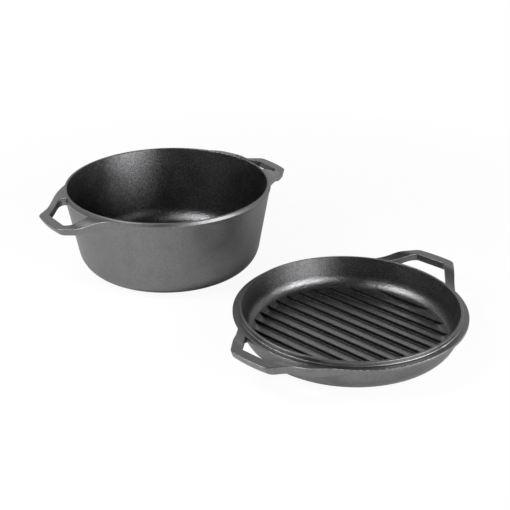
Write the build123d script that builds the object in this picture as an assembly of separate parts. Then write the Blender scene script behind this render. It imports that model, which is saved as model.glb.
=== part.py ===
from build123d import *
import math
import os

# A two-piece cast iron dutch oven: a deep round pot, and a shallow ribbed pan
# that turns over to be its lid. Each is one casting with two loop handles.
# Millimetres, +Z up. The origin is the middle of the pot's base, and the
# pot's handles lie along X. The lid lies beside the pot, ribs up.

# Pot bowl
mouth_radius = 132.0     # inside of the rim
pot_height = 113.3       # base to rim
pot_wall = 4.7           # square to the wall
pot_floor = 5.0
pot_draft = 9.9          # degrees off vertical
pot_foot_round = 32.0    # outside corner between wall and base
pot_floor_round = 28.0   # inside corner between wall and floor

# Band round the pot's rim
rim_flat = 3.0           # width of the flat seat on top
rim_swell = 4.9          # widest place of the band, out from the mouth
rim_swell_drop = 4.0     # that place, down from the rim
rim_band = 8.4           # height of the band
rim_edge_round = 0.7
rim_swell_round = 1.4

# Loop handles, the same plan on pot and lid. The bar's outer face and the
# S-bend of the arms are turned about the bowl's centre line.
bar_stand = 45.5         # mouth to the bar's outer edge
bar_lean = 28.0          # degrees, the bar's outer face leans in towards its underside
bar_half = 24.7          # bar's outer corner, off the handle's middle
bar_width = 14.2
arm_width = 12.3
arm_angle = 37.0         # degrees, arm's side off the handle's middle line
bar_corner_round = 10.0
hole_bar_round = 3.0
handle_draft = 6.0       # degrees, sides lean in towards the underside
handle_top_round = 0.9
handle_under_round = 1.4
bend_start = 3.0         # out from the mouth, where the arm leaves the rim's level
bend_end = 31.0          # out from the mouth, where it is level again
bend_lead_in = 16.0      # lengths of the bend's two end tangents
bend_lead_out = 10.0
bury = 0.1               # disc at the handle's root, inside the bowl's wall

# Pot handles
pot_handle_thick = 9.2       # bar
pot_root_thick = 11.0        # arm, where it meets the bowl
pot_handle_root_drop = 0.5   # top of the arm's root under the rim
pot_handle_drop = 11.8       # top of the bar under the rim
pot_root_round = 40.0        # in plan, between arm and rim
pot_hole_round = 8.0         # in plan, finger hole's corners at the rim

# Lid, a shallow pan
lid_foot_round = 26.4
lid_draft = 13.8         # degrees off vertical, outside
flange_reach = 6.4       # flange past the mouth's radius
flange_overhang = 6.3    # flange past the wall below it
flange_height = 39.2     # base to the flange's seat
flange_thick = 3.8
flange_edge_round = 0.8
flange_root_round = 1.5
lip_gap = 0.8            # clearance of the lip in the pot's mouth
lip_wall = 3.0
lip_rise = 5.4           # lip above the flange
lip_root_round = 1.3
lip_edge_round = 0.7
pan_draft = 10.5         # degrees off vertical, inside
pan_floor = 5.0
pan_floor_round = 19.0

# Lid handles
lid_handle_thick = 10.0
lid_root_thick = 12.0
lid_handle_rise = 7.3    # top of the bar over the flange
lid_root_round = 130.0
lid_hole_round = 3.0

# Grill ribs in the lid
rib_pitch = 18.3
rib_margin = 10.0        # least from the outermost rib's middle to the floor's edge
rib_height = 3.7
rib_crest = 1.8
rib_crest_round = 0.5
rib_foot = 3.8
rib_flare = 0.5          # foot spreads out below this height
rib_flare_round = 0.9
rib_bed = 1.5            # rib let into the floor

# Where the lid lies
lid_x = 60.5
lid_y = -305.7
lid_turn = 11.2          # degrees, lid handles against pot handles


def lean(height, draft):
    """Sideways run of a drafted wall over a height."""
    return height * math.tan(math.radians(draft))


def slant(thickness, draft):
    """Level width of a drafted wall of this thickness."""
    return thickness / math.cos(math.radians(draft))


def turned(points, rounds):
    """Solid turned from a section of (radius, height) points."""
    outline = FilletPolyline(
        *[(r, 0, z) for r, z in points], radius=rounds, close=True
    )
    return revolve(make_face(outline), Axis.Z)


def bowl_hollow(mouth, top, floor, draft, floor_round, edge_round):
    """What a bowl holds, up to its brim, with the brim's inner edge rounded."""
    over = 2 * floor
    points = [
        (0, floor),
        (mouth - lean(top - floor, draft), floor),
        (mouth, top),
        (mouth + over, top),
        (mouth + over, top + over),
        (0, top + over),
    ]
    return turned(points, [0, floor_round, edge_round, 0, 0, 0])


def pot_blank():
    """The pot's outside with no hollow and no handles."""
    wall_at_rim = mouth_radius + slant(pot_wall, pot_draft)
    points = [
        (0, 0),
        (wall_at_rim - lean(pot_height, pot_draft), 0),
        (wall_at_rim - lean(rim_band, pot_draft), pot_height - rim_band),
        (mouth_radius + rim_swell, pot_height - rim_swell_drop),
        (mouth_radius + rim_flat, pot_height),
        (0, pot_height),
    ]
    return turned(points, [0, pot_foot_round, rim_edge_round, rim_swell_round, rim_edge_round, 0])


def arm_wedge(outer, half):
    """Face between two straight arm sides, which spread from (outer, half) to
    the points nearest the bowl's centre line."""
    away = math.radians(arm_angle)
    along = outer * math.cos(away) - half * math.sin(away)
    inner = outer - along * math.cos(away)
    inner_half = half + along * math.sin(away)
    return make_face(Polyline(
        (outer, half), (inner, inner_half), (inner, -inner_half), (outer, -half), close=True
    ))


def handle_outline(root_radius, root_round, beyond):
    """Plan of a handle's outside, joined to a disc inside the bowl's wall and
    run on past the bar's outer edge."""
    outer = mouth_radius + bar_stand
    plan = arm_wedge(outer + beyond, bar_half - lean(beyond, arm_angle)) + Circle(root_radius)
    roots = [v for v in plan.vertices() if abs(math.hypot(v.X, v.Y) - root_radius) < 0.01]
    return fillet(roots, root_round)


def handle_hole(root_radius, rim_round):
    """Plan of the finger hole between bar, arms and rim."""
    bar_inner = mouth_radius + bar_stand - bar_width
    hole_half = bar_half + lean(bar_width, arm_angle) - slant(arm_width, arm_angle)
    plan = arm_wedge(bar_inner, hole_half) - Circle(root_radius)
    bar_corners = [v for v in plan.vertices() if v.X > bar_inner - 0.01]
    plan = fillet(bar_corners, hole_bar_round)
    rim_corners = [
        v for v in plan.vertices()
        if abs(math.hypot(v.X, v.Y) - root_radius) < 0.01
    ]
    return fillet(rim_corners, rim_round)


def bent_ring(root_top, bar_top, root_thick, bar_thick):
    """Ring about the bowl with the handles' S-bend, level at both ends."""
    start = mouth_radius + bend_start
    end = mouth_radius + bend_end
    inner = mouth_radius / 2
    outer = mouth_radius + bar_stand + bar_width

    def bend(root_level, bar_level):
        return Bezier(
            (start, 0, root_level), (start + bend_lead_in, 0, root_level),
            (end - bend_lead_out, 0, bar_level), (end, 0, bar_level),
        )

    section = make_face([
        Line((inner, 0, root_top), (start, 0, root_top)),
        bend(root_top, bar_top),
        Line((end, 0, bar_top), (outer, 0, bar_top)),
        Line((outer, 0, bar_top), (outer, 0, bar_top - bar_thick)),
        Line((outer, 0, bar_top - bar_thick), (end, 0, bar_top - bar_thick)),
        bend(root_top - root_thick, bar_top - bar_thick),
        Line((start, 0, root_top - root_thick), (inner, 0, root_top - root_thick)),
        Line((inner, 0, root_top - root_thick), (inner, 0, root_top)),
    ])
    return revolve(section, Axis.Z)


def drafted(plan, level, top, bottom, draft):
    """Prism through a plan at a level, whose sides lean in towards the bottom."""
    at_level = Pos(0, 0, level) * plan
    lower = extrude(at_level, level - bottom, dir=(0, 0, -1), taper=draft)
    if top <= level:
        return lower
    return lower + extrude(at_level, top - level, dir=(0, 0, 1), taper=-draft)


def brim(solid, side):
    """Edges round the top of a solid, side 1, or round its underside, side -1."""
    faces = [f for f in solid.faces() if side * f.normal_at().Z > 0.5]
    edges = [e for f in faces for e in f.edges()]
    return [e for e in solid.edges() if sum(e.is_same(other) for other in edges) == 1]


def bar_cone(bar_top, top, bottom):
    """Everything inside the bar's outer face, between two levels."""
    reach = mouth_radius + bar_stand
    wide = reach + lean(top - bar_top, bar_lean)
    narrow = reach - lean(bar_top - bottom, bar_lean)
    return Pos(0, 0, (top + bottom) / 2) * Cone(narrow, wide, top - bottom)


def loop_handle(wall_radius, root_top, bar_top, root_thick, bar_thick, root_round, hole_round):
    """One loop handle along +X, with a disc that lies inside the bowl's blank."""
    margin = 2.0
    top = max(root_top, bar_top) + margin
    bottom = min(root_top - root_thick, bar_top - bar_thick) - margin
    beyond = lean(top - bar_top, bar_lean) + margin
    plan = handle_outline(wall_radius, root_round, beyond)
    outside = drafted(plan, bar_top, top, bottom, handle_draft)
    outside &= bar_cone(bar_top, top + margin, bottom - margin)
    bar_corners = [
        e for e in outside.edges()
        if e.center().X > mouth_radius + bar_stand - bar_width and abs(e.tangent_at(0.5).Z) > 0.5
    ]
    outside = fillet(bar_corners, bar_corner_round)
    hole = drafted(handle_hole(wall_radius, hole_round), bar_top, top, bottom, -handle_draft)
    handle = bent_ring(root_top, bar_top, root_thick, bar_thick) & (outside - hole)
    handle = fillet(brim(handle, 1), handle_top_round)
    return fillet(brim(handle, -1), handle_under_round)


def pot():
    """The pot, one casting with its two handles."""
    root_top = pot_height - pot_handle_root_drop
    bar_top = pot_height - pot_handle_drop
    wall_radius = mouth_radius + rim_flat - lean(root_top - bar_top, handle_draft) - bury
    handle = loop_handle(
        wall_radius, root_top, bar_top, pot_root_thick, pot_handle_thick,
        pot_root_round, pot_hole_round,
    )
    blank = pot_blank() + [handle, Rot(0, 0, 180) * handle]
    return blank - bowl_hollow(
        mouth_radius, pot_height, pot_floor, pot_draft, pot_floor_round, rim_edge_round
    )


def lid_wall(height):
    """Outside radius of the lid's wall at a height."""
    seat_bottom = flange_height - flange_thick
    under_flange = mouth_radius + flange_reach - flange_overhang
    return under_flange - lean(seat_bottom - height, lid_draft)


def lid_blank():
    """The lid's outside with no hollow and no handles."""
    seat_bottom = flange_height - flange_thick
    flange_radius = mouth_radius + flange_reach
    lip_outer = mouth_radius - lip_gap
    points = [
        (0, 0),
        (lid_wall(0), 0),
        (lid_wall(seat_bottom), seat_bottom),
        (flange_radius, seat_bottom),
        (flange_radius, flange_height),
        (lip_outer, flange_height),
        (lip_outer, flange_height + lip_rise),
        (0, flange_height + lip_rise),
    ]
    rounds = [
        0, lid_foot_round, flange_root_round, flange_edge_round,
        flange_edge_round, lip_root_round, lip_edge_round, 0,
    ]
    return turned(points, rounds)


def grill_rib():
    """One rib along Y, longer than the pan, with its foot let into the floor."""
    bed = pan_floor - rib_bed
    crest = pan_floor + rib_height
    flare = pan_floor + rib_flare
    half_crest = rib_crest / 2
    half_foot = rib_foot / 2
    neck = half_foot - rib_flare
    spread = half_foot + rib_bed
    section = make_face(FilletPolyline(
        (-spread, 0, bed), (-neck, 0, flare), (-half_crest, 0, crest),
        (half_crest, 0, crest), (neck, 0, flare), (spread, 0, bed),
        radius=[0, rib_flare_round, rib_crest_round, rib_crest_round, rib_flare_round, 0],
        close=True,
    ))
    return extrude(section, mouth_radius, dir=(0, 1, 0), both=True)


def grill_lid():
    """The lid, one casting with ribs and two handles, where it lies beside the pot."""
    brim_top = flange_height + lip_rise
    brim_radius = mouth_radius - lip_gap - lip_wall
    bar_top = flange_height + lid_handle_rise
    under_root = flange_height - lid_root_thick
    wall_radius = lid_wall(under_root) + lean(bar_top - under_root, handle_draft) - bury
    handle = loop_handle(
        wall_radius, flange_height, bar_top, lid_root_thick, lid_handle_thick,
        lid_root_round, lid_hole_round,
    )
    hollow = bowl_hollow(
        brim_radius, brim_top, pan_floor, pan_draft, pan_floor_round, lip_edge_round
    )
    floor_edge = brim_radius - lean(brim_top - pan_floor, pan_draft)
    ribs_each_side = int((floor_edge - rib_margin) / rib_pitch)
    ribs = [
        Pos(i * rib_pitch, 0, 0) * grill_rib()
        for i in range(-ribs_each_side, ribs_each_side + 1)
    ]
    place = Pos(lid_x, lid_y, 0) * Rot(0, 0, lid_turn)
    blank = place * lid_blank() + [place * handle, place * Rot(0, 0, 180) * handle]
    return blank - place * (hollow - ribs)


os.makedirs("parts", exist_ok=True)
export_step(pot(), "parts/oven_pot.step")
export_step(grill_lid(), "parts/grill_lid.step")
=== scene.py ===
import bpy
import math
from mathutils import Matrix, Vector

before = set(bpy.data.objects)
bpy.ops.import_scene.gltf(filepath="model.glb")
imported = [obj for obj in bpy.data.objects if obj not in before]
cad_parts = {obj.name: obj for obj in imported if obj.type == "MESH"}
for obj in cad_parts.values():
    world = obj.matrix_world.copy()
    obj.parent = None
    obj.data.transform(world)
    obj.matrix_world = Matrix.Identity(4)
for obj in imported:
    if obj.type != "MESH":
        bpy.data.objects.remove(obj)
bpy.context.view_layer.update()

scene = bpy.context.scene
scene.view_settings.view_transform = "Standard"


# node helpers: each adds one node and gives back the socket that holds its result

def feed(links, socket, value):
    # a plain value is set on the socket, anything else is linked to it
    if isinstance(value, (int, float, tuple)):
        socket.default_value = value
    else:
        links.new(value, socket)


def makeMath(nodes, links, operation, *values):
    step = nodes.new("ShaderNodeMath")
    step.operation = operation
    for socket, value in zip(step.inputs, values):
        feed(links, socket, value)
    return step.outputs[0]


def rangeOf(nodes, links, value, low, high, fromLow=0.0, fromHigh=1.0):
    step = nodes.new("ShaderNodeMapRange")
    step.inputs["From Min"].default_value = fromLow
    step.inputs["From Max"].default_value = fromHigh
    step.inputs["To Min"].default_value = low
    step.inputs["To Max"].default_value = high
    links.new(value, step.inputs["Value"])
    return step.outputs[0]


def mixOf(nodes, links, kind, share, first, second):
    step = nodes.new("ShaderNodeMix")
    step.data_type = kind
    links.new(share, step.inputs["Factor"])
    feed(links, step.inputs["A"], first)
    feed(links, step.inputs["B"], second)
    return step.outputs["Result"]


def glossRay(nodes, links, path):
    # 1 for a ray that gloss or glass sends out
    glossy = path.outputs["Is Glossy Ray"]
    through = path.outputs["Is Transmission Ray"]
    return makeMath(nodes, links, "MAXIMUM", glossy, through)


# camera: stands and looks as in the photograph, metres in the part's own frame

cameraPlace = {
    "stand": (-0.6839, -1.1512, 0.6461),
    "aim": (0.1018, -0.0577, 0.0),
    "roll": -0.103,         # degrees
    "lens": 76.41,          # millimetres, as is the sensor
    "sensor": 36.0,
    "shift": (-0.001, 0.001),
    "farClip": 50,
}


def addCamera(place):
    data = bpy.data.cameras.new("studioCamera")
    data.lens = place["lens"]
    data.sensor_width = place["sensor"]
    data.shift_x, data.shift_y = place["shift"]
    data.clip_end = place["farClip"]
    camera = bpy.data.objects.new("studioCamera", data)
    scene.collection.objects.link(camera)
    stand = Vector(place["stand"])
    look = Vector(place["aim"]) - stand
    turn = look.to_track_quat("-Z", "Y").to_matrix().to_4x4()
    roll = Matrix.Rotation(math.radians(place["roll"]), 4, "Z")
    camera.matrix_world = Matrix.Translation(stand) @ turn @ roll
    scene.camera = camera


addCamera(cameraPlace)
print("camera set")


# studio: pale floor, white surroundings, a soft box behind the camera on each side

white = (1, 1, 1, 1)

floorLook = {
    "size": 9.0,
    "drop": 0.0002,
    "color": (0.86, 0.86, 0.86, 1),
    "glow": (0.93, 1.0),    # share of plain white that the camera sees, near and far
    "fade": (0.28, 0.75),   # metres from the target where near ends and far begins
    "gloss": 0.05,          # share of plain white that gloss rays see
}

worldLook = {
    "light": 0.25,                          # what the surroundings give as soft light
    # gloss rays get a white backdrop ahead, a dim ceiling and a dim room behind the camera
    "backdropWay": (0.58, 0.81, 0.0),
    "ceiling": (0.95, 0.06, 0.42, 0.80),    # low, overhead, and the rises between
    "room": (0.15, 1.0, -0.35, 0.45),       # behind the camera, ahead, and the turn between
}

lampTarget = (0.10, -0.12, 0.03)

softBoxes = [
    # name, bearing right of the view, height angle, distance, size, watts
    ("leftBox", -118, 45, 0.9, (0.35, 0.35), 6.5),
    ("rightBox", 131, 16, 1.2, (0.9, 0.5), 16),
]


def addFloor(look):
    # matt, whitened for the camera and a little for gloss rays
    bpy.ops.mesh.primitive_plane_add(size=look["size"], location=(0, 0, -look["drop"]))
    floor = bpy.context.object
    floor.name = "studioFloor"
    material = bpy.data.materials.new("paleFloor")
    material.use_nodes = True
    nodes, links = material.node_tree.nodes, material.node_tree.links
    nodes.clear()
    output = nodes.new("ShaderNodeOutputMaterial")
    matt = nodes.new("ShaderNodeBsdfDiffuse")
    matt.inputs["Color"].default_value = look["color"]
    glow = nodes.new("ShaderNodeEmission")
    glow.inputs["Color"].default_value = white
    path = nodes.new("ShaderNodeLightPath")
    shiny = glossRay(nodes, links, path)
    away = nodes.new("ShaderNodeVectorMath")
    away.operation = "DISTANCE"
    away.inputs[1].default_value = lampTarget
    links.new(nodes.new("ShaderNodeTexCoord").outputs["Object"], away.inputs[0])
    whiteness = rangeOf(nodes, links, away.outputs["Value"], *look["glow"], *look["fade"])
    seen = makeMath(nodes, links, "MULTIPLY", path.outputs["Is Camera Ray"], whiteness)
    share = makeMath(nodes, links, "MULTIPLY_ADD", shiny, look["gloss"], seen)
    mix = nodes.new("ShaderNodeMixShader")
    links.new(share, mix.inputs[0])
    links.new(matt.outputs[0], mix.inputs[1])
    links.new(glow.outputs[0], mix.inputs[2])
    links.new(mix.outputs[0], output.inputs["Surface"])
    floor.data.materials.append(material)


def addWorld(look):
    world = bpy.data.worlds.new("whiteRoom")
    scene.world = world
    world.use_nodes = True
    nodes, links = world.node_tree.nodes, world.node_tree.links
    nodes.clear()
    output = nodes.new("ShaderNodeOutputWorld")
    sky = nodes.new("ShaderNodeBackground")
    sky.inputs["Color"].default_value = white
    path = nodes.new("ShaderNodeLightPath")
    toward = nodes.new("ShaderNodeTexCoord").outputs["Generated"]
    split = nodes.new("ShaderNodeSeparateXYZ")
    links.new(toward, split.inputs[0])
    ahead = nodes.new("ShaderNodeVectorMath")
    ahead.operation = "DOT_PRODUCT"
    ahead.inputs[1].default_value = look["backdropWay"]
    links.new(toward, ahead.inputs[0])
    height = rangeOf(nodes, links, split.outputs["Z"], *look["ceiling"])
    side = rangeOf(nodes, links, ahead.outputs["Value"], *look["room"])
    glow = makeMath(nodes, links, "MULTIPLY", height, side)
    shiny = glossRay(nodes, links, path)
    dull = makeMath(nodes, links, "SUBTRACT", 1.0, shiny)
    matt = makeMath(nodes, links, "MULTIPLY", dull, look["light"])
    shown = makeMath(nodes, links, "MULTIPLY_ADD", shiny, glow, matt)
    strength = makeMath(nodes, links, "MAXIMUM", shown, path.outputs["Is Camera Ray"])
    links.new(strength, sky.inputs["Strength"])
    links.new(sky.outputs[0], output.inputs["Surface"])


def addSoftBox(name, bearing, height, distance, size, watts):
    data = bpy.data.lights.new(name, "AREA")
    data.shape = "RECTANGLE"
    data.size, data.size_y = size
    data.energy = watts
    box = bpy.data.objects.new(name, data)
    box.visible_camera = False
    scene.collection.objects.link(box)
    view = Vector(cameraPlace["aim"]) - Vector(cameraPlace["stand"])
    heading = math.atan2(view.y, view.x) - math.radians(bearing)
    rise = math.radians(height)
    level = math.cos(rise)
    away = Vector((math.cos(heading) * level, math.sin(heading) * level, math.sin(rise)))
    box.location = Vector(lampTarget) + away * distance
    box.rotation_euler = (-away).to_track_quat("-Z", "Y").to_euler()


addFloor(floorLook)
addWorld(worldLook)
for softBox in softBoxes:
    addSoftBox(*softBox)
print("studio lit")


# iron: dark casting, fine outside and sandy inside, with thin rubbed edges lightened partly
# as wear and partly as a painted highlight, painted shade on the rib flanks and painted light
# in the valleys

potIron = {
    "name": "potIron",
    "middle": (0.0, 0.0, 0.0),
    # surface halfway through the wall, which parts inside from outside
    "cornerReach": 0.0898,
    "cornerHeight": 0.0325,
    "cornerRound": 0.0300,
    "wallLean": 0.1745,         # out per metre up
    "outside": (0.172, 0.172, 0.174, 1),
    "inside": (0.098, 0.098, 0.100, 1),
    # rubbed edges are lighter, partly as wear and partly as a painted highlight
    "rubbedAndHighlit": (0.300, 0.300, 0.304, 1),
    "outsideRough": (0.37, 0.43),
    "insideRough": (0.30, 0.36),
    "rubbedRough": 0.26,
    # patterns: times per metre, and detail
    "mottle": (45, 4),
    "sand": (640, 1),
    "speck": (440, 1),          # coarser specks, inside only
    "patternSpan": (0.3, 0.7),  # part of each pattern that its tones are spread over
    "mottleTone": (0.94, 1.06),
    "sandTone": (0.86, 1.14),
    "speckTone": (0.68, 1.32),
    "outsideSand": 0.00012,     # relief, metres
    "insideSand": 0.00040,
    # wear and a painted edge highlight show where the metal is thinner than its width
    "wearAndHighlightWidth": 0.0007,
    "wearAndHighlightShare": 0.75,
    "wearAndHighlightSamples": 8,
    "wearAndHighlightSpan": (0.35, 0.85),
    # wear and painted highlight both keep this share in the sand's hollows
    "wearAndHighlightLeast": 0.35,          # wear that is left in the sand's hollows
    "wearAndHighlightSand": (0.4, 0.6),
    # painted shade and painted light by slope and height, matched to the look of the ribs
    "steepSpan": (0.62, 0.93),  # upward share of the normal, steep and level
    "ribTop": 0.0,              # steep faces under this height are dark and dull
    # painted shade on the rib flanks: the tone for steep faces under ribTop
    "ribSidePaintedShade": 0.10,
    "ribSideRough": 0.62,
    "valleyTop": 0.0,           # level faces under this height are lighter
    # painted light in the valleys: the tone for level faces under valleyTop
    "valleyPaintedLight": 1.9,
}

lidIron = dict(
    potIron,
    name="lidIron",
    middle=(0.0605, -0.3057, 0.0),
    cornerReach=0.1039,
    cornerHeight=0.0252,
    cornerRound=0.0227,
    wallLean=0.185,
    inside=(0.130, 0.130, 0.132, 1),
    insideSand=0.00034,
    speckTone=(0.78, 1.22),
    wearAndHighlightWidth=0.0006,
    ribTop=0.0090,
    valleyTop=0.0062,
)


def insideShare(nodes, links, where, iron):
    # 1 on the bowl's inside, 0 on its outside, by place alone
    centred = nodes.new("ShaderNodeVectorMath")
    centred.operation = "SUBTRACT"
    links.new(where, centred.inputs[0])
    centred.inputs[1].default_value = iron["middle"]
    split = nodes.new("ShaderNodeSeparateXYZ")
    links.new(centred.outputs[0], split.inputs[0])

    def do(operation, *values):
        return makeMath(nodes, links, operation, *values)

    across = do("POWER", split.outputs["X"], 2.0)
    along = do("POWER", split.outputs["Y"], 2.0)
    reach = do("SQRT", do("ADD", across, along))
    height = split.outputs["Z"]
    above = do("MAXIMUM", do("SUBTRACT", height, iron["cornerHeight"]), 0.0)
    below = do("MAXIMUM", do("SUBTRACT", iron["cornerHeight"], height), 0.0)
    past = do("SUBTRACT", reach, iron["cornerReach"])
    past = do("SUBTRACT", past, do("MULTIPLY", above, iron["wallLean"]))
    past = do("MAXIMUM", past, 0.0)
    away = do("ADD", do("MULTIPLY", past, past), do("MULTIPLY", below, below))
    return do("LESS_THAN", do("SQRT", away), iron["cornerRound"])


def ironFinish(iron):
    material = bpy.data.materials.new(iron["name"])
    material.use_nodes = True
    nodes, links = material.node_tree.nodes, material.node_tree.links
    shader = nodes["Principled BSDF"]
    shader.inputs["Metallic"].default_value = 1.0
    where = nodes.new("ShaderNodeTexCoord").outputs["Object"]
    inside = insideShare(nodes, links, where, iron)

    def do(operation, *values):
        return makeMath(nodes, links, operation, *values)

    def blend(share, first, second):
        return mixOf(nodes, links, "FLOAT", share, first, second)

    def tint(share, first, second):
        return mixOf(nodes, links, "RGBA", share, first, second)

    def noise(scale, detail):
        texture = nodes.new("ShaderNodeTexNoise")
        texture.inputs["Scale"].default_value = scale
        texture.inputs["Detail"].default_value = detail
        links.new(where, texture.inputs["Vector"])
        return texture.outputs["Fac"]

    def spread(pattern, limits):
        return rangeOf(nodes, links, pattern, *limits, *iron["patternSpan"])

    mottle = noise(*iron["mottle"])
    sand = noise(*iron["sand"])
    speck = noise(*iron["speck"])

    # wear and painted highlight: edges stand out where the metal under them is thin
    depth = nodes.new("ShaderNodeAmbientOcclusion")
    depth.inside = True
    depth.only_local = True
    depth.samples = iron["wearAndHighlightSamples"]
    depth.inputs["Distance"].default_value = iron["wearAndHighlightWidth"]
    edge = rangeOf(nodes, links, depth.outputs["AO"], 1.0, 0.0, *iron["wearAndHighlightSpan"])
    broken = rangeOf(nodes, links, sand, iron["wearAndHighlightLeast"], 1.0, *iron["wearAndHighlightSand"])
    # edges lightened partly as wear and partly as a painted highlight
    wornAndHighlit = do("MULTIPLY", do("MULTIPLY", edge, broken), iron["wearAndHighlightShare"])

    # painted shade on the rib flanks, which are steep and low, and painted light in the
    # valleys between the ribs, which are level and lower
    surface = nodes.new("ShaderNodeNewGeometry")
    facing = nodes.new("ShaderNodeSeparateXYZ")
    links.new(surface.outputs["True Normal"], facing.inputs[0])
    upright = do("ABSOLUTE", facing.outputs["Z"])
    steep = rangeOf(nodes, links, upright, 1.0, 0.0, *iron["steepSpan"])
    level = do("SUBTRACT", 1.0, steep)
    place = nodes.new("ShaderNodeSeparateXYZ")
    links.new(where, place.inputs[0])
    low = do("LESS_THAN", place.outputs["Z"], iron["ribTop"])
    lower = do("LESS_THAN", place.outputs["Z"], iron["valleyTop"])
    # painted shade: steep low faces inside are darkened
    paintedShadeFlank = do("MULTIPLY", do("MULTIPLY", steep, low), inside)
    # painted light: level low faces inside are lightened
    paintedLightValley = do("MULTIPLY", do("MULTIPLY", level, lower), inside)

    # colour: mottled softly, each sand grain a little lighter or darker, with painted light
    # in the valleys, painted shade on the rib flanks, and lighter rubbed edges that are
    # partly wear and partly a painted highlight
    tone = do("MULTIPLY", spread(mottle, iron["mottleTone"]), spread(sand, iron["sandTone"]))
    tone = do("MULTIPLY", tone, blend(inside, 1.0, spread(speck, iron["speckTone"])))
    # painted light in the valleys
    tone = do("MULTIPLY", tone, rangeOf(nodes, links, paintedLightValley, 1.0, iron["valleyPaintedLight"]))
    # painted shade on the rib flanks
    tone = do("MULTIPLY", tone, rangeOf(nodes, links, paintedShadeFlank, 1.0, iron["ribSidePaintedShade"]))
    shade = nodes.new("ShaderNodeHueSaturation")
    links.new(tint(inside, iron["outside"], iron["inside"]), shade.inputs["Color"])
    links.new(tone, shade.inputs["Value"])
    # rubbed edges mixed in: partly wear, partly a painted highlight
    links.new(tint(wornAndHighlit, shade.outputs["Color"], iron["rubbedAndHighlit"]), shader.inputs["Base Color"])

    # gloss: changes a little from patch to patch
    outsideRough = spread(mottle, iron["outsideRough"])
    insideRough = spread(mottle, iron["insideRough"])
    rough = blend(inside, outsideRough, insideRough)
    rough = blend(paintedShadeFlank, rough, iron["ribSideRough"])
    links.new(blend(wornAndHighlit, rough, iron["rubbedRough"]), shader.inputs["Roughness"])

    # relief: sand grain, higher on the inside
    outsideRelief = do("MULTIPLY", sand, iron["outsideSand"])
    insideRelief = do("MULTIPLY", sand, iron["insideSand"])
    bump = nodes.new("ShaderNodeBump")
    bump.inputs["Strength"].default_value = 1.0
    bump.inputs["Distance"].default_value = 1.0
    links.new(blend(inside, outsideRelief, insideRelief), bump.inputs["Height"])
    links.new(bump.outputs[0], shader.inputs["Normal"])
    return material


for nodeName, iron in (("oven_pot", potIron), ("grill_lid", lidIron)):
    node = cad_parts[nodeName]
    node.data.materials.clear()
    node.data.materials.append(ironFinish(iron))
print("iron finished")
